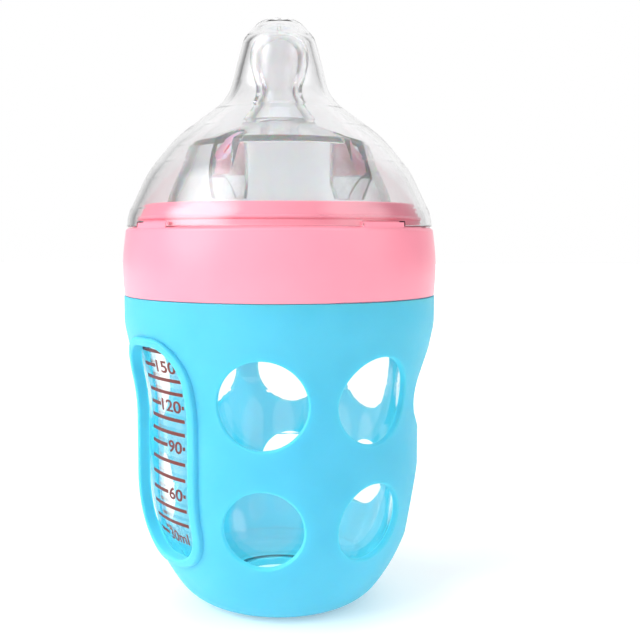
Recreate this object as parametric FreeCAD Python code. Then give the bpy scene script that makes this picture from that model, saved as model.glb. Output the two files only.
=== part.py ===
import FreeCAD, Part
import math
import os

# Wide-neck glass baby bottle in a silicone sleeve, with a screw collar, a vented silicone teat
# and a clear dome cover.  Millimetres, +Z up, origin at the centre of the sleeve's base.
# An azimuth is measured round the axis from -Y (the front) towards +X.

# ---- Driving dimensions: body ------------------------------------------------------------
BASE_CORNER_R = 22.4       # where the flat base would meet the sloping foot
WAIST_R = 35.3             # straight barrel of the sleeve
FLARE_R = 39.0             # widened top of the sleeve, as wide as the collar's foot
FOOT_CORNER_Z = 18.7       # where the sloping foot would meet the barrel
FLARE_START_Z = 53.0       # where the barrel would meet the flare's cone
FLARE_END_Z = 70.8         # where the cone would meet the widened top
SLEEVE_TOP_Z = 77.6
BASE_ROUND = 12.4          # rounding between base and foot
FOOT_ROUND = 49.0          # long curve between foot and barrel
FLARE_START_ROUND = 45.0
FLARE_END_ROUND = 15.0

# ---- Sleeve ---------------------------------------------------------------------------------
SLEEVE_WALL = 1.8
SLEEVE_LIP_ROUND = 0.25
BASE_OPENING_R = 12.5
HOLE_AZIMUTHS = [0, 45, 90, 135, 180, 225, 270]
HOLE_ROWS = [(54.9, 10.2), (26.2, 9.2)]      # height of the row, radius of its holes
HOLE_ROUND = 0.45
WINDOW_AZIMUTH = -47.0
WINDOW_WIDTH = 22.2
WINDOW_BOTTOM_Z = 15.9
WINDOW_TOP_Z = 66.9
WINDOW_ROUND = 8.6
BEZEL_WIDTH = 2.0
BEZEL_HEIGHT = 1.2
BEZEL_ROUND = 0.6
PRISM_START_R = 18.0       # cutters for holes and window start inside the glass

# ---- Glass ----------------------------------------------------------------------------------
SLEEVE_GAP = 0.25          # between sleeve and glass
GLASS_WALL = 2.4
GLASS_FLOOR = 3.6
PUNT_R = 11.0              # shallow hollow under the glass's base
PUNT_DEPTH = 0.8
SHOULDER_Z = 77.3          # top of the glass shoulder
SHOULDER_ROUND = 2.4
NECK_R = 32.6
RIM_Z = 96.3
RIM_ROUND = 1.1

# ---- Thread between glass and collar -----------------------------------------------------
THREAD_PITCH = 5.0
THREAD_TURNS = 1.3
THREAD_START_Z = 81.5
THREAD_OFFSET = 2.2        # the collar's thread lies this far below the glass's thread
THREAD_ROOT_WIDTH = 2.5
THREAD_CREST_WIDTH = 1.0
THREAD_SINK = 0.3          # how far a thread's root is sunk into its wall
GLASS_CREST_R = 34.3
COLLAR_CREST_R = 33.1

# ---- Collar ---------------------------------------------------------------------------------
COLLAR_BOTTOM_Z = 77.7
COLLAR_FOOT_R = 38.85
COLLAR_BELLY_R = 39.3
COLLAR_BELLY_Z = 85.2
COLLAR_LEDGE_Z = 94.2      # the cover stands on this ledge
COLLAR_EDGE_R = 38.35
COLLAR_EDGE_ROUND = 1.0
BAND_FOOT_R = 35.6
BAND_TOP_R = 34.0
COLLAR_TOP_Z = 99.6
COLLAR_PLATE = 1.6
SKIRT_INNER_R = 34.9
THROAT_R = 33.0            # plain bore above the thread
THROAT_Z = 92.5
MOUTH_R = 28.7             # opening that the teat comes up through
SNAP_BEAD_Z = 96.3
SNAP_BEAD_R = 0.5
LUG_AZIMUTHS = [45, 135, 225, 315]
LUG_ANGLE = 18.4
LUG_HEIGHT = 1.1

# ---- Teat -----------------------------------------------------------------------------------
FLANGE_R = 32.4
FLANGE_BOTTOM_Z = 96.5
FLANGE_TOP_Z = 97.8
PLUG_R = 29.8              # skirt that reaches down into the neck
PLUG_BOTTOM_Z = 94.6
FLANK_FOOT_R = 28.2
FLANK_HEAD_R = 22.4
FLANK_HEAD_Z = 114.6
CREASE_R = 9.8             # where the sloping shoulder meets the nipple's foot
CREASE_Z = 119.8
TEAT_WALL = 1.8
NIPPLE_NECK_R = 5.0        # where the nipple's foot would meet its widening bulb
NIPPLE_NECK_Z = 125.6
NIPPLE_BULB_R = 7.4
NIPPLE_BULB_Z = 134.5
NIPPLE_TOP_Z = 143.3
NIPPLE_WALL = 2.6
BORE_FOOT_R = 6.6
BORE_FOOT_Z = 119.1
FEED_HOLE_R = 0.35

# ---- Vents: two upright pockets sunk into the teat's flank, with a valve in each ------------
VENTS = {"vent_valve_front": -28.0, "vent_valve_side": 60.0}      # azimuths
VENT_AXIS_R = 20.4
POCKET_LENGTH = 9.8        # along the radius
POCKET_WIDTH = 7.0
POCKET_WALL = 0.8
POCKET_BOTTOM_Z = 100.6
POCKET_KNEE_Z = 106.6      # below this height the two ends draw in
POCKET_DRAW = 0.5          # how far they draw in per millimetre of height
SKIN_DEPTH = 0.6           # the pocket's wall joins the flank this far under its outer face
VALVE_GAP = 0.05
VALVE_BOTTOM_Z = 106.0
VALVE_TOP_Z = 112.9        # height of the valve's sloping top on its own axis
VALVE_SLOPE = 42.8
AIR_SLIT_LENGTH = 4.2
AIR_SLIT_WIDTH = 0.6

# ---- Cover ----------------------------------------------------------------------------------
COVER_WALL = 1.6
COVER_RIM_R = 38.2
COVER_TOP_Z = 146.0
NOTCH_CLEARANCE = 0.25

AXIS = FreeCAD.Vector(0, 0, 1)
CENTRE = FreeCAD.Vector(0, 0, 0)


# ---- Geometry helpers -----------------------------------------------------------------------
def in_section(r, z):
    return FreeCAD.Vector(r, 0, z)


def at_azimuth(azimuth, r, z):
    angle = math.radians(azimuth)
    return FreeCAD.Vector(r * math.sin(angle), -r * math.cos(angle), z)


def rotated(shape, angle):
    turned_copy = shape.copy()
    turned_copy.rotate(CENTRE, AXIS, angle)
    return turned_copy


def outline_face(corners):
    """Face in the XZ plane from corners (r, z, rounding); each rounding is a tangent arc."""
    count = len(corners)
    points = [in_section(r, z) for r, z, _ in corners]
    entries, exits, middles = [], [], []
    for i, (_, _, rounding) in enumerate(corners):
        point = points[i]
        before = (point - points[i - 1]).normalize()
        after = (points[(i + 1) % count] - point).normalize()
        turn = before.getAngle(after)
        reach = rounding * math.tan(turn / 2)
        entries.append(point - before * reach)
        exits.append(point + after * reach)
        inward = after - before
        if rounding > 0:
            inward.normalize()
        middles.append(point + inward * rounding * (1 / math.cos(turn / 2) - 1))
    edges = []
    for i in range(count):
        if corners[i][2] > 0:
            edges.append(Part.Arc(entries[i], middles[i], exits[i]).toShape())
        start, end = exits[i], entries[(i + 1) % count]
        if start.distanceToPoint(end) > 1e-4:
            edges.append(Part.LineSegment(start, end).toShape())
    return Part.Face(Part.Wire(Part.__sortEdges__(edges)))


def turned(corners, seam=22.5):
    """Solid of revolution about the axis, with its seam line turned away from the holes."""
    solid = outline_face(corners).revolve(CENTRE, AXIS, 360)
    solid.rotate(CENTRE, AXIS, seam)
    return solid


def inset(corners, depth, floor=None):
    """Offset an open outline towards the inside by depth, and its first line by floor."""
    depths = [depth] * (len(corners) - 1)
    if floor is not None:
        depths[0] = floor
    lines = []
    for (r0, z0, _), (r1, z1, _), shift in zip(corners, corners[1:], depths):
        length = math.hypot(r1 - r0, z1 - z0)
        dr, dz = (r1 - r0) / length, (z1 - z0) / length
        lines.append((r0 - dz * shift, z0 + dr * shift, dr, dz))
    result = [(lines[0][0], lines[0][1], 0)]
    for (ra, za, dra, dza), (rb, zb, drb, dzb), corner in zip(lines, lines[1:], corners[1:]):
        cross = dra * dzb - dza * drb
        along = ((rb - ra) * dzb - (zb - za) * drb) / cross
        bend = 1 if cross > 0 else -1
        result.append((ra + dra * along, za + dza * along, corner[2] - bend * depth))
    r_end, z_end, _ = corners[-1]
    _, _, dr, dz = lines[-1]
    result.append((r_end - dz * depth, z_end + dr * depth, 0))
    return result


def radial_prism(azimuth, bottom, top, width, rounding):
    """Rounded rectangle pushed out along a radius, long enough to cross the whole wall."""
    half = width / 2
    corners = [(-half, bottom), (half, bottom), (half, top), (-half, top)]
    face = outline_face([(x, z, rounding) for x, z in corners])
    face.translate(FreeCAD.Vector(0, -PRISM_START_R, 0))
    prism = face.extrude(FreeCAD.Vector(0, -WAIST_R, 0))
    prism.rotate(CENTRE, AXIS, azimuth)
    return prism


def edges_on(shape, cutters, beyond_r=0):
    """Edges of a shape, past a radius, that run round the side walls of the given prisms."""
    rims = []
    for edge in shape.Edges:
        start, middle, end = edge.discretize(3)
        along = (end - start).normalize() if edge.Length > 0.01 else AXIS
        outward = FreeCAD.Vector(middle.x, middle.y, 0).normalize()
        if abs(along.dot(outward)) > 0.95 or math.hypot(middle.x, middle.y) < beyond_r:
            continue
        if any(cutter.Shells[0].distToShape(Part.Vertex(middle))[0] < 1e-3 for cutter in cutters):
            rims.append(edge)
    return rims


def sector(azimuth, angle, inner_r, outer_r, bottom, top):
    """Curved block between two radii, centred on an azimuth."""
    corners = [(inner_r, bottom, 0), (outer_r, bottom, 0), (outer_r, top, 0), (inner_r, top, 0)]
    block = outline_face(corners).revolve(CENTRE, AXIS, angle)
    block.rotate(CENTRE, AXIS, azimuth - 90 - angle / 2)
    return block


def thread(start_z, root_r, crest_r):
    """Right-hand thread ridge that starts over +X and climbs from root_r towards crest_r."""
    outward = 1 if crest_r > root_r else -1
    sunk_r = root_r - outward * THREAD_SINK
    root, crest = THREAD_ROOT_WIDTH / 2, THREAD_CREST_WIDTH / 2
    profile = [(sunk_r, -root), (crest_r, -crest), (crest_r, crest), (sunk_r, root)]
    points = [in_section(r, start_z + z) for r, z in profile]
    section = Part.makePolygon(points + points[:1])
    path = Part.makeHelix(THREAD_PITCH, THREAD_PITCH * THREAD_TURNS, root_r)
    path.translate(FreeCAD.Vector(0, 0, start_z))
    return Part.Wire(path).makePipeShell([section], True, True)


# ---- Shared outlines ------------------------------------------------------------------------
def body_outline():
    """Outer face of the sleeve, from the axis up to its top edge."""
    return [(0, 0, 0),
            (BASE_CORNER_R, 0, BASE_ROUND),
            (WAIST_R, FOOT_CORNER_Z, FOOT_ROUND),
            (WAIST_R, FLARE_START_Z, FLARE_START_ROUND),
            (FLARE_R, FLARE_END_Z, FLARE_END_ROUND),
            (FLARE_R, SLEEVE_TOP_Z, 0)]


def filled(outline):
    """Close an outline along the axis."""
    return outline + [(0, outline[-1][1], 0)]


# ---- Sub-parts ------------------------------------------------------------------------------
def silicone_sleeve():
    outside = body_outline()
    inside = turned(filled(inset(outside, SLEEVE_WALL)))
    body = turned(filled(outside[:-1] + [(FLARE_R, SLEEVE_TOP_Z, SLEEVE_LIP_ROUND)]))
    pad = radial_prism(WINDOW_AZIMUTH, WINDOW_BOTTOM_Z - BEZEL_WIDTH, WINDOW_TOP_Z + BEZEL_WIDTH,
                       WINDOW_WIDTH + 2 * BEZEL_WIDTH, WINDOW_ROUND + BEZEL_WIDTH)
    bezel = pad.common(turned(filled(inset(outside, -BEZEL_HEIGHT))))
    bezel = bezel.makeFillet(BEZEL_ROUND, edges_on(bezel, [pad], PRISM_START_R + 1))
    body = body.fuse(bezel)
    openings = [radial_prism(WINDOW_AZIMUTH, WINDOW_BOTTOM_Z, WINDOW_TOP_Z,
                             WINDOW_WIDTH, WINDOW_ROUND)]
    for height, radius in HOLE_ROWS:
        for azimuth in HOLE_AZIMUTHS:
            start = at_azimuth(azimuth, PRISM_START_R, height)
            openings.append(Part.makeCylinder(radius, WAIST_R, start, at_azimuth(azimuth, 1, 0)))
    body = body.cut(inside)
    for opening in openings:
        body = body.cut(opening)
    body = body.makeFillet(HOLE_ROUND, edges_on(body, openings))
    return body.cut(Part.makeCylinder(BASE_OPENING_R, 2 * SLEEVE_WALL, CENTRE, AXIS))


def glass_bottle():
    depth = SLEEVE_WALL + SLEEVE_GAP
    outside = inset(body_outline(), depth)
    base_z = outside[0][1]
    shoulder_r = FLARE_R - depth
    neck_bore_r = NECK_R - GLASS_WALL
    inside = inset(body_outline(), depth + GLASS_WALL, depth + GLASS_FLOOR)
    outline = [(0, base_z + PUNT_DEPTH, 0),
               (PUNT_R, base_z + PUNT_DEPTH, 3),
               (PUNT_R + 2, base_z, 1)]
    outline += outside[1:-1]
    outline += [(shoulder_r, SHOULDER_Z, SHOULDER_ROUND),
                (NECK_R, SHOULDER_Z, 1),
                (NECK_R, RIM_Z, RIM_ROUND),
                (neck_bore_r, RIM_Z, RIM_ROUND),
                (neck_bore_r, SHOULDER_Z - GLASS_WALL, SHOULDER_ROUND),
                (inside[-1][0], SHOULDER_Z - GLASS_WALL, SHOULDER_ROUND)]
    outline += inside[-2:0:-1]
    outline += [(0, inside[0][1], 0)]
    return turned(outline).fuse(thread(THREAD_START_Z, NECK_R, GLASS_CREST_R))


def collar_outline():
    plate_z = COLLAR_TOP_Z - COLLAR_PLATE
    return [(SKIRT_INNER_R, COLLAR_BOTTOM_Z, 0.5),
            (COLLAR_FOOT_R, COLLAR_BOTTOM_Z, 0.25),
            (COLLAR_BELLY_R + 0.15, COLLAR_BELLY_Z, 45),
            (COLLAR_EDGE_R, COLLAR_LEDGE_Z, COLLAR_EDGE_ROUND),
            (BAND_FOOT_R, COLLAR_LEDGE_Z, 0.3),
            (BAND_TOP_R, COLLAR_TOP_Z, 0.8),
            (MOUTH_R, COLLAR_TOP_Z, 0.5),
            (MOUTH_R, plate_z, 0),
            (THROAT_R, plate_z, 0.6),
            (THROAT_R, THROAT_Z, 0.3),
            (SKIRT_INNER_R, THROAT_Z, 0.6)]


def screw_collar():
    collar = turned(collar_outline())
    share = (SNAP_BEAD_Z - COLLAR_LEDGE_Z) / (COLLAR_TOP_Z - COLLAR_LEDGE_Z)
    bead_r = BAND_FOOT_R + share * (BAND_TOP_R - BAND_FOOT_R)
    collar = collar.fuse(Part.makeTorus(bead_r, SNAP_BEAD_R, FreeCAD.Vector(0, 0, SNAP_BEAD_Z), AXIS))
    for azimuth in LUG_AZIMUTHS:
        lug = sector(azimuth, LUG_ANGLE, BAND_FOOT_R - 1, COVER_RIM_R - 0.2,
                     COLLAR_LEDGE_Z - 0.5, COLLAR_LEDGE_Z + LUG_HEIGHT)
        collar = collar.fuse(lug)
    return collar.fuse(thread(THREAD_START_Z - THREAD_OFFSET, SKIRT_INNER_R, COLLAR_CREST_R))


def upright_slot(length, width, bottom):
    """Round-ended upright bar at azimuth 0, its long way along the radius, up past the teat."""
    half = width / 2
    near, far = VENT_AXIS_R - length / 2 + half, VENT_AXIS_R + length / 2 - half
    height = COVER_TOP_Z - bottom
    block = Part.makeBox(width, far - near, height, FreeCAD.Vector(-half, -far, bottom))
    for r in (near, far):
        block = block.fuse(Part.makeCylinder(half, height, FreeCAD.Vector(0, -r, bottom)))
    return block.removeSplitter()


def vent_side_view(points):
    """Block with the given side view (r, z), wide enough to cross a whole vent."""
    corners = [FreeCAD.Vector(-POCKET_WIDTH, -r, z) for r, z in points]
    wire = Part.makePolygon(corners + corners[:1])
    return Part.Face(wire).extrude(FreeCAD.Vector(2 * POCKET_WIDTH, 0, 0))


def vent_column(depth, bottom):
    """Upright column of a vent, depth inside the pocket's outer face, drawn in below its knee."""
    half = POCKET_LENGTH / 2 - depth
    draw = POCKET_DRAW * (POCKET_KNEE_Z - bottom)
    near, far = VENT_AXIS_R - half, VENT_AXIS_R + half
    view = [(near + draw, bottom), (far - draw, bottom), (far, POCKET_KNEE_Z),
            (far, COVER_TOP_Z), (near, COVER_TOP_Z), (near, POCKET_KNEE_Z)]
    column = upright_slot(2 * half, POCKET_WIDTH - 2 * depth, bottom)
    return column.common(vent_side_view(view))


def vent_valve():
    column = vent_column(POCKET_WALL + VALVE_GAP, VALVE_BOTTOM_Z)
    fall = math.tan(math.radians(VALVE_SLOPE)) * POCKET_LENGTH / 2
    near, far = VENT_AXIS_R - POCKET_LENGTH / 2, VENT_AXIS_R + POCKET_LENGTH / 2
    below_top = vent_side_view([(near, VALVE_BOTTOM_Z), (far, VALVE_BOTTOM_Z),
                                (far, VALVE_TOP_Z - fall), (near, VALVE_TOP_Z + fall)])
    slit = upright_slot(AIR_SLIT_LENGTH, AIR_SLIT_WIDTH, VALVE_BOTTOM_Z - 1)
    return column.common(below_top).cut(slit)


def teat_face():
    """Outer face of the teat, from the foot of its flank up to the tip."""
    return [(FLANK_FOOT_R, FLANGE_TOP_Z, 0.2),
            (FLANK_FOOT_R, FLANGE_TOP_Z + 3, 9),
            (FLANK_HEAD_R, FLANK_HEAD_Z, 1.6),
            (CREASE_R, CREASE_Z, 0.8),
            (NIPPLE_NECK_R, NIPPLE_NECK_Z, 7.5),
            (NIPPLE_BULB_R, NIPPLE_BULB_Z, 12),
            (NIPPLE_BULB_R, NIPPLE_TOP_Z, NIPPLE_BULB_R - 0.3),
            (0, NIPPLE_TOP_Z, 0)]


def teat():
    bore_r = NIPPLE_BULB_R - NIPPLE_WALL
    bore_top_z = NIPPLE_TOP_Z - NIPPLE_WALL
    inner_foot_r = FLANK_FOOT_R - TEAT_WALL
    outline = [(PLUG_R, FLANGE_BOTTOM_Z, 0.3),
               (FLANGE_R, FLANGE_BOTTOM_Z, 0.4),
               (FLANGE_R, FLANGE_TOP_Z, 0.4)]
    outline += teat_face()
    outline += [(0, bore_top_z, 0),
                (bore_r, bore_top_z, bore_r - 0.3),
                (bore_r, NIPPLE_BULB_Z - 0.5, 12),
                (NIPPLE_NECK_R - NIPPLE_WALL + 0.2, NIPPLE_NECK_Z + 0.3, 9),
                (BORE_FOOT_R, BORE_FOOT_Z, 0.4),
                (FLANK_HEAD_R - 0.75 * TEAT_WALL, FLANK_HEAD_Z - 0.75 * TEAT_WALL, 1.2),
                (inner_foot_r, FLANGE_TOP_Z + 3, 9),
                (inner_foot_r, PLUG_BOTTOM_Z, 0.4),
                (PLUG_R, PLUG_BOTTOM_Z, 0.6)]
    body = turned(outline)
    under_skin = inset([(FLANK_FOOT_R, PLUG_BOTTOM_Z, 0)] + teat_face()[1:4], SKIN_DEPTH)
    core = turned([(0, PLUG_BOTTOM_Z, 0)] + under_skin + [(0, under_skin[-1][1], 0)])
    for azimuth in VENTS.values():
        pocket = rotated(vent_column(0, POCKET_BOTTOM_Z), azimuth)
        body = body.fuse(pocket.common(core))
    for azimuth in VENTS.values():
        body = body.cut(rotated(vent_column(POCKET_WALL, POCKET_BOTTOM_Z - 1), azimuth))
    feed_hole = Part.makeCylinder(FEED_HOLE_R, 4 * NIPPLE_WALL,
                                  FreeCAD.Vector(0, 0, NIPPLE_TOP_Z - 2 * NIPPLE_WALL), AXIS)
    return body.cut(feed_hole)


def cover_outline():
    """Outer face of the cover, from its rim up to the axis."""
    return [(COVER_RIM_R, COLLAR_LEDGE_Z + 0.15, 0),
            (37.7, 97.8, 8),
            (32.8, 108.0, 20),
            (26.0, 116.4, 30),
            (12.7, 126.3, 12),
            (10.7, 134.4, 30),
            (8.9, 141.0, 5),
            (5.0, 145.3, 5),
            (0, COVER_TOP_Z, 0)]


def dome_cover():
    outside = cover_outline()
    inside = inset(outside, COVER_WALL)
    rim_z = outside[0][1]
    inside[0] = (inside[0][0], rim_z, 0.3)
    inside[-1] = (0, COVER_TOP_Z - COVER_WALL, 0)
    outside[0] = (COVER_RIM_R, rim_z, 0.4)
    cover = turned(outside + inside[::-1])
    for azimuth in LUG_AZIMUTHS:
        notch = sector(azimuth, LUG_ANGLE + 0.8, BAND_FOOT_R, COVER_RIM_R + 1,
                       rim_z - 1, COLLAR_LEDGE_Z + LUG_HEIGHT + NOTCH_CLEARANCE)
        cover = cover.cut(notch)
    return cover


def main():
    parts = {"silicone_sleeve": silicone_sleeve(),
             "glass_bottle": glass_bottle(),
             "screw_collar": screw_collar(),
             "teat": teat(),
             "dome_cover": dome_cover()}
    for name, azimuth in VENTS.items():
        parts[name] = rotated(vent_valve(), azimuth)
    os.makedirs("parts", exist_ok=True)
    for name, shape in parts.items():
        shape.exportStep(f"parts/{name}.step")
        print(name, "valid", shape.isValid(), "solids", len(shape.Solids), "cm3",
              round(shape.Volume / 1000, 2))


main()
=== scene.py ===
import math

import bmesh
import bpy
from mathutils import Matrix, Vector
from mathutils.bvhtree import BVHTree


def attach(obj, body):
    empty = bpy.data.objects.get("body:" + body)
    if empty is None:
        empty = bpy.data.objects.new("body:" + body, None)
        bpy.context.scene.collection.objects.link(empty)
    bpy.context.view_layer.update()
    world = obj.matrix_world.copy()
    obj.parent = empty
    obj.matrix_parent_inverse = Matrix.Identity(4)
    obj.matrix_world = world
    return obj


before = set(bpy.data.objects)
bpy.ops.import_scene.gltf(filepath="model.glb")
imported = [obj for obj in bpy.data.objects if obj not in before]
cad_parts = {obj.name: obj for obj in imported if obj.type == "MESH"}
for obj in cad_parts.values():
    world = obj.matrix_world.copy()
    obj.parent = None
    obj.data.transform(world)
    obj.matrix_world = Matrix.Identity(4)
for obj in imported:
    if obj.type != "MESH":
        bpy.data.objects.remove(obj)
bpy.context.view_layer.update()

# Looks of the baby bottle: materials of every piece, the printed volume scale, studio and camera.
# Metres, in the CAD model's frame.  An azimuth is measured from -Y (the front) towards +X.

MM = 0.001

# ---- Camera -------------------------------------------------------------------------------
CAMERA_AZIMUTH = 6.2
CAMERA_DISTANCE = 235.6 * MM
CAMERA_HEIGHT = 91.9 * MM
CAMERA_PITCH = 5.1
CAMERA_LENS = 52.03
CAMERA_SHIFT = 0.0636

# ---- Light ----------------------------------------------------------------------------------
WORLD_SIDE = 0.22          # brightness of the surroundings to both sides, 1 behind the bottle
WORLD_FRONT = 0.55         # their brightness behind the camera
SIDE_FADE = (0.34, 0.82)   # sideways part of a direction at which the sides start and end to darken
FRONT_FADE = (-0.7, 0.3)
PATCH_FADE = (0.84, 0.99)  # cosine of the angle from a patch's middle, from its edge to its core
PATCHES = (                # soft bright patches: direction, strength
    ((-0.757, -0.441, 0.484), 5.0),
    ((0.834, -0.269, 0.48), 1.9),
)
KEY_PLACE = (-0.55, -0.60, 0.55)
KEY_SIZE = (0.5, 0.7)
KEY_POWER = 1.5
KEY_TARGET = (0, 0, 0.08)
FLOOR_GLOW = 0.25
FLOOR_SIZE = 3.0           # half the floor's width
GLOW_HEIGHTS = (28 * MM, 58 * MM)
GLOW_POWER = 0.058
GLOW_COLOUR = (0.6, 1.0, 1.0)
GLOW_RADIUS = 12 * MM

# ---- Printed volume scale ---------------------------------------------------------------------
# Height of the marks above the table in millimetres, by millilitres; those between are evenly spaced
SCALE_HEIGHTS = {30: 20.8, 60: 31.7, 90: 43.0, 120: 52.6, 150: 61.9, 160: 65.4}
SCALE_STEP = 10            # millilitres from mark to mark
SCALE_LEFT = -61.0         # azimuths of the ends of the lines
SCALE_RIGHT = -34.8
NUMBER_RIGHT = -36.6       # azimuth of the right end of each number
LINE_HEIGHT = 0.85 * MM
INK_LIFT = 0.03 * MM       # ink stands this far proud of the glass
OUTSIDE_R = 100 * MM       # radius well outside the bottle
NUMBER_HEIGHT = 2.9 * MM
# Number printed at each volume, and its width
NUMBER_LABELS = {30: ("30ml", 7.6 * MM), 60: ("60", 5.2 * MM), 90: ("90", 5.2 * MM),
                 120: ("120", 7.9 * MM), 150: ("150", 7.9 * MM)}
DASH_GAP = 0.5 * MM        # between a number and the dashes beside it


# ---- Material helpers -----------------------------------------------------------------------
def new_material(name, **sockets):
    """Principled material whose constant sockets are set by name."""
    material = bpy.data.materials.new(name)
    material.use_nodes = True
    shader = material.node_tree.nodes["Principled BSDF"]
    for socket, value in sockets.items():
        shader.inputs[socket.replace("_", " ")].default_value = value
    return material, shader


def node(material, kind, **settings):
    made = material.node_tree.nodes.new(kind)
    for name, value in settings.items():
        if name in made.inputs:
            made.inputs[name].default_value = value
        else:
            setattr(made, name, value)
    return made


def link(material, source, target):
    material.node_tree.links.new(source, target)


def object_coordinates(material):
    return node(material, "ShaderNodeTexCoord").outputs["Object"]


def noise_texture(material, scale, detail=3.0, roughness=0.5):
    texture = node(material, "ShaderNodeTexNoise", Scale=scale, Detail=detail, Roughness=roughness)
    link(material, object_coordinates(material), texture.inputs["Vector"])
    return texture.outputs["Fac"]


def ranged(material, factor, low, high, source=(0.3, 0.7)):
    """Map a factor onto a range of values."""
    mapped = node(material, "ShaderNodeMapRange")
    mapped.inputs["From Min"].default_value = source[0]
    mapped.inputs["From Max"].default_value = source[1]
    mapped.inputs["To Min"].default_value = low
    mapped.inputs["To Max"].default_value = high
    link(material, factor, mapped.inputs["Value"])
    return mapped.outputs["Result"]


def blended(material, factor, first, second):
    """Colour that wanders between two neighbours."""
    mix = node(material, "ShaderNodeMix", data_type="RGBA")
    link(material, factor, mix.inputs["Factor"])
    colours = [socket for socket in mix.inputs if socket.type == "RGBA"]
    for socket, colour in zip(colours, (first, second)):
        socket.default_value = (*colour, 1)
    return [socket for socket in mix.outputs if socket.type == "RGBA"][0]


def let_lamps_through(material, shader, share):
    """Lets this share of a lamp's light pass straight through a clear piece."""
    path = node(material, "ShaderNodeLightPath")
    solid = ranged(material, path.outputs["Is Shadow Ray"], 1, 1 - share, source=(0, 1))
    link(material, solid, shader.inputs["Alpha"])


def add_bump(material, shader, layers, distance):
    """Bump from several noise layers, each (scale, strength)."""
    normal = None
    for scale, strength in layers:
        bump = node(material, "ShaderNodeBump", Strength=strength, Distance=distance)
        link(material, noise_texture(material, scale), bump.inputs["Height"])
        if normal is not None:
            link(material, normal, bump.inputs["Normal"])
        normal = bump.outputs["Normal"]
    link(material, normal, shader.inputs["Normal"])


def linear(red, green, blue):
    """Linear colour from 8-bit display values."""
    values = []
    for value in (red, green, blue):
        share = value / 255
        values.append(share / 12.92 if share <= 0.04045 else ((share + 0.055) / 1.055) ** 2.4)
    return tuple(values)


# ---- Materials ------------------------------------------------------------------------------
def sleeve_silicone():
    material, shader = new_material("sleeve_silicone", IOR=1.41,
                                    Subsurface_Weight=0.85, Subsurface_Scale=0.003,
                                    Specular_IOR_Level=0.35)
    shader.inputs["Subsurface Radius"].default_value = (0.7, 1.0, 1.2)
    patches = ranged(material, noise_texture(material, 60), 0, 1)
    colour = blended(material, patches, linear(82, 187, 210), linear(90, 193, 216))
    link(material, colour, shader.inputs["Base Color"])
    wear = ranged(material, noise_texture(material, 240, 5, 0.6), 0.42, 0.58)
    link(material, wear, shader.inputs["Roughness"])
    add_bump(material, shader, [(900, 0.10), (4500, 0.16)], 0.00008)
    return material


def collar_plastic():
    material, shader = new_material("collar_plastic", IOR=1.52)
    patches = ranged(material, noise_texture(material, 45), 0, 1)
    colour = blended(material, patches, linear(249, 148, 168), linear(252, 154, 173))
    link(material, colour, shader.inputs["Base Color"])
    polish = ranged(material, noise_texture(material, 110, 5, 0.6), 0.28, 0.31)
    link(material, polish, shader.inputs["Roughness"])
    add_bump(material, shader, [(1400, 0.03), (6000, 0.04)], 0.00005)
    return material


def clear_material(name, tint, ior, haze, bump, lamp_share):
    """Clear solid: haze holds the ends of its roughness, bump its ripples."""
    material, shader = new_material(name, IOR=ior, Transmission_Weight=1.0)
    shader.inputs["Base Color"].default_value = (*tint, 1)
    smears = ranged(material, noise_texture(material, 130, 4, 0.6), *haze)
    link(material, smears, shader.inputs["Roughness"])
    add_bump(material, shader, bump, 0.00004)
    let_lamps_through(material, shader, lamp_share)
    return material


def bottle_glass():
    return clear_material("bottle_glass", (0.955, 0.970, 0.968), 1.47, (0.0, 0.02), [(70, 0.15)], 0.9)


def cover_clear():
    return clear_material("cover_clear", (0.935, 0.935, 0.94), 1.46, (0.0, 0.03), [(110, 0.12)], 1.0)


def soft_silicone(name, tint, clearness, haze):
    """Soft silicone that is partly clear and partly milky."""
    material, shader = new_material(name, IOR=1.41, Transmission_Weight=clearness,
                                    Subsurface_Weight=1.0, Subsurface_Scale=0.004)
    shader.inputs["Base Color"].default_value = (*tint, 1)
    smears = ranged(material, noise_texture(material, 150, 4, 0.6), *haze)
    link(material, smears, shader.inputs["Roughness"])
    add_bump(material, shader, [(400, 0.10), (3000, 0.06)], 0.00005)
    let_lamps_through(material, shader, 0.6)
    return material


def teat_silicone():
    return soft_silicone("teat_silicone", (0.93, 0.935, 0.945), 0.92, (0.02, 0.07))


def valve_silicone():
    return soft_silicone("valve_silicone", (1.0, 0.50, 0.62), 0.2, (0.08, 0.16))


def scale_ink():
    material, shader = new_material("scale_ink", Roughness=0.45)
    patches = ranged(material, noise_texture(material, 900), 0, 1)
    colour = blended(material, patches, linear(96, 24, 16), linear(116, 36, 26))
    link(material, colour, shader.inputs["Base Color"])
    add_bump(material, shader, [(3000, 0.2)], 0.00003)
    return material


def floor_paint():
    material, shader = new_material("floor_paint", Roughness=0.6, Emission_Strength=FLOOR_GLOW)
    shader.inputs["Emission Color"].default_value = (1, 1, 1, 1)
    patches = ranged(material, noise_texture(material, 4), 0, 1)
    colour = blended(material, patches, (0.90, 0.90, 0.90), (0.93, 0.93, 0.93))
    link(material, colour, shader.inputs["Base Color"])
    return material


def dress(node_name, material):
    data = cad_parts[node_name].data
    data.materials.clear()
    data.materials.append(material)


# ---- Printed volume scale -------------------------------------------------------------------
def at_azimuth(azimuth, radius, height):
    angle = math.radians(azimuth)
    return Vector((radius * math.sin(angle), -radius * math.cos(angle), height))


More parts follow.
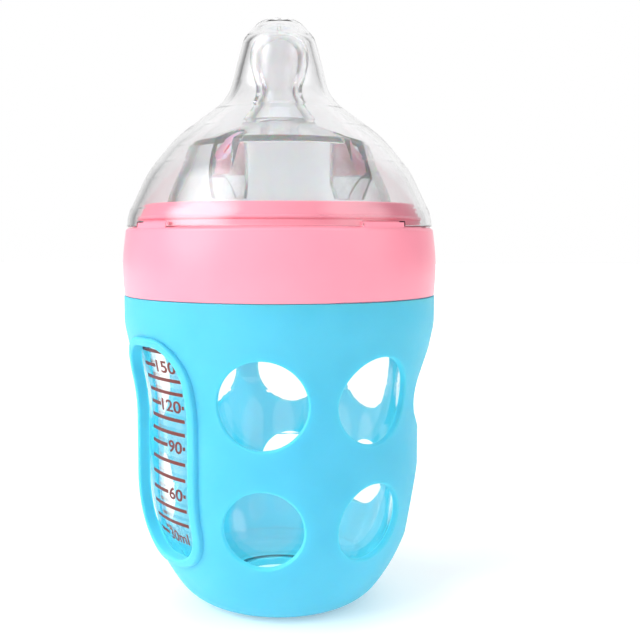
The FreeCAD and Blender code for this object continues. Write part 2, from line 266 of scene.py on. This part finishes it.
class GlassFace:
    """Outer face of the glass, found by looking in towards the axis."""

    def __init__(self):
        mesh = bmesh.new()
        mesh.from_mesh(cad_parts["glass_bottle"].data)
        self.tree = BVHTree.FromBMesh(mesh)
        mesh.free()

    def point(self, azimuth, height, lift):
        start = at_azimuth(azimuth, OUTSIDE_R, height)
        hit, _, _, _ = self.tree.ray_cast(start, Vector((-start.x, -start.y, 0)).normalized())
        radius = math.hypot(hit.x, hit.y)
        return at_azimuth(azimuth, radius + lift, height)


def printed_bar(mesh, glass, left, right, height):
    """Thin curved bar of ink between two azimuths, closed on all sides."""
    steps = max(2, round(abs(right - left)))
    rings = []
    for i in range(steps + 1):
        azimuth = left + (right - left) * i / steps
        ring = [mesh.verts.new(glass.point(azimuth, height + rise * LINE_HEIGHT / 2, lift))
                for rise, lift in ((-1, 0), (1, 0), (1, INK_LIFT), (-1, INK_LIFT))]
        rings.append(ring)
    for first, second in zip(rings, rings[1:]):
        for k in range(4):
            mesh.faces.new((first[k], first[(k + 1) % 4], second[(k + 1) % 4], second[k]))
    mesh.faces.new(rings[0])
    mesh.faces.new(rings[-1][::-1])


def piece_from_bmesh(name, mesh, material, body):
    bmesh.ops.recalc_face_normals(mesh, faces=mesh.faces)
    data = bpy.data.meshes.new(name)
    mesh.to_mesh(data)
    mesh.free()
    data.materials.append(material)
    piece = bpy.data.objects.new(name, data)
    bpy.context.scene.collection.objects.link(piece)
    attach(piece, body)


def number_mesh(label, width):
    """Flat extruded label, its right end at x = 0 and its middle at y = 0."""
    text = bpy.data.curves.new("label", "FONT")
    text.body = label
    text.size = 1
    text.offset = 0.02
    text.extrude = 0.5
    carrier = bpy.data.objects.new("label", text)
    bpy.context.scene.collection.objects.link(carrier)
    bpy.context.view_layer.update()
    flat = bpy.data.meshes.new_from_object(carrier.evaluated_get(bpy.context.evaluated_depsgraph_get()))
    bpy.data.objects.remove(carrier)
    xs = [v.co.x for v in flat.vertices]
    ys = [v.co.y for v in flat.vertices]
    for vertex in flat.vertices:
        x = (vertex.co.x - max(xs)) / (max(xs) - min(xs)) * width
        y = (vertex.co.y - (min(ys) + max(ys)) / 2) / (max(ys) - min(ys)) * NUMBER_HEIGHT
        lift = 0 if vertex.co.z < 0 else INK_LIFT
        vertex.co = (x, y, lift)
    return flat


def mark_height(volume):
    known = sorted(SCALE_HEIGHTS)
    for low, high in zip(known, known[1:]):
        if low <= volume <= high:
            share = (volume - low) / (high - low)
            return (SCALE_HEIGHTS[low] + share * (SCALE_HEIGHTS[high] - SCALE_HEIGHTS[low])) * MM
    raise ValueError(volume)


def degrees_of(length, radius):
    return math.degrees(length / radius)


def volume_scale(material):
    glass = GlassFace()
    lines = bmesh.new()
    for volume in range(min(SCALE_HEIGHTS), max(SCALE_HEIGHTS) + 1, SCALE_STEP):
        height = mark_height(volume)
        if volume not in NUMBER_LABELS:
            printed_bar(lines, glass, SCALE_LEFT, SCALE_RIGHT, height)
            continue
        label, width = NUMBER_LABELS[volume]
        radius = math.hypot(*glass.point(NUMBER_RIGHT, height, 0)[:2])
        number_left = NUMBER_RIGHT - degrees_of(width, radius)
        printed_bar(lines, glass, SCALE_LEFT, number_left - degrees_of(DASH_GAP, radius), height)
        if label.isdigit():
            printed_bar(lines, glass, NUMBER_RIGHT + degrees_of(DASH_GAP, radius) / 2,
                        SCALE_RIGHT, height)
        flat = number_mesh(label, width)
        for vertex in flat.vertices:
            azimuth = NUMBER_RIGHT + degrees_of(vertex.co.x, radius)
            vertex.co = glass.point(azimuth, height + vertex.co.y, vertex.co.z)
        number = bmesh.new()
        number.from_mesh(flat)
        bmesh.ops.remove_doubles(number, verts=number.verts, dist=INK_LIFT / 10)
        piece_from_bmesh(f"scale_number_{volume}", number, material, "bottle")
    piece_from_bmesh("scale_lines", lines, material, "bottle")


# ---- Studio ---------------------------------------------------------------------------------
def lamp_at(name, data, location):
    """Lamp that lights surfaces, but isn't itself mirrored in glass or plastic."""
    lamp = bpy.data.objects.new(name, data)
    lamp.location = location
    lamp.visible_glossy = False
    lamp.visible_transmission = False
    bpy.context.scene.collection.objects.link(lamp)
    return lamp


def key_light():
    light = bpy.data.lights.new("key_light", "AREA")
    light.shape = "RECTANGLE"
    light.size, light.size_y = KEY_SIZE
    light.energy = KEY_POWER
    aim = Vector(KEY_TARGET) - Vector(KEY_PLACE)
    lamp = lamp_at("key_light", light, KEY_PLACE)
    lamp.rotation_euler = aim.to_track_quat("-Z", "Y").to_euler()


def inside_glow(height):
    """Faint lamp inside the glass, which stands for light that soaks through the soft sleeve."""
    light = bpy.data.lights.new("inside_glow", "POINT")
    light.energy = GLOW_POWER
    light.color = GLOW_COLOUR
    light.shadow_soft_size = GLOW_RADIUS
    lamp_at("inside_glow", light, (0, 0, height))


def surroundings():
    """White backdrop that lights less from both sides and the front, plus soft bright patches."""
    world = bpy.data.worlds.new("studio")
    world.use_nodes = True
    tree = world.node_tree

    def connected(kind, operation, *sources):
        made = tree.nodes.new(kind)
        made.operation = operation
        for socket, source in zip(made.inputs, sources):
            if isinstance(source, (int, float, tuple)):
                socket.default_value = source
            else:
                tree.links.new(source, socket)
        return made

    def stepped(source, fade, low, high):
        step = tree.nodes.new("ShaderNodeMapRange")
        step.interpolation_type = "SMOOTHSTEP"
        for name, value in zip(("From Min", "From Max", "To Min", "To Max"), (*fade, low, high)):
            step.inputs[name].default_value = value
        tree.links.new(source, step.inputs["Value"])
        return step.outputs["Result"]

    direction = tree.nodes.new("ShaderNodeTexCoord").outputs["Generated"]
    split = tree.nodes.new("ShaderNodeSeparateXYZ")
    tree.links.new(direction, split.inputs["Vector"])
    side = connected("ShaderNodeMath", "ABSOLUTE", split.outputs["X"]).outputs[0]
    sides = stepped(side, SIDE_FADE, 1.0, WORLD_SIDE)
    front = stepped(split.outputs["Y"], FRONT_FADE, WORLD_FRONT, 1.0)
    total = connected("ShaderNodeMath", "MULTIPLY", sides, front).outputs[0]
    for centre, strength in PATCHES:
        toward = connected("ShaderNodeVectorMath", "DOT_PRODUCT", direction, centre).outputs["Value"]
        patch = stepped(toward, PATCH_FADE, 0.0, strength)
        total = connected("ShaderNodeMath", "ADD", total, patch).outputs[0]
    backdrop = tree.nodes.new("ShaderNodeLightPath").outputs["Is Camera Ray"]
    total = connected("ShaderNodeMath", "MAXIMUM", total, backdrop).outputs[0]
    tree.links.new(total, tree.nodes["Background"].inputs["Strength"])
    tree.nodes["Background"].inputs["Color"].default_value = (1, 1, 1, 1)
    return world


def studio():
    floor_data = bpy.data.meshes.new("floor")
    corners = [(FLOOR_SIZE * x, FLOOR_SIZE * y, 0) for x, y in ((-1, -1), (1, -1), (1, 1), (-1, 1))]
    floor_data.from_pydata(corners, [], [(0, 1, 2, 3)])
    floor_data.materials.append(floor_paint())
    floor = bpy.data.objects.new("floor", floor_data)
    bpy.context.scene.collection.objects.link(floor)

    bpy.context.scene.world = surroundings()
    key_light()
    for height in GLOW_HEIGHTS:
        inside_glow(height)
    bpy.context.scene.view_settings.view_transform = "Standard"


def camera():
    data = bpy.data.cameras.new("camera")
    data.lens = CAMERA_LENS
    data.shift_x = CAMERA_SHIFT
    data.clip_start = 0.01
    eye = bpy.data.objects.new("camera", data)
    eye.location = at_azimuth(CAMERA_AZIMUTH, CAMERA_DISTANCE, CAMERA_HEIGHT)
    eye.rotation_euler = (math.radians(90 - CAMERA_PITCH), 0, math.radians(CAMERA_AZIMUTH))
    bpy.context.scene.collection.objects.link(eye)
    bpy.context.scene.camera = eye


camera()
studio()
dress("silicone_sleeve", sleeve_silicone())
dress("glass_bottle", bottle_glass())
dress("screw_collar", collar_plastic())
dress("teat", teat_silicone())
dress("dome_cover", cover_clear())
valve = valve_silicone()
dress("vent_valve_front", valve)
dress("vent_valve_side", valve)
volume_scale(scale_ink())
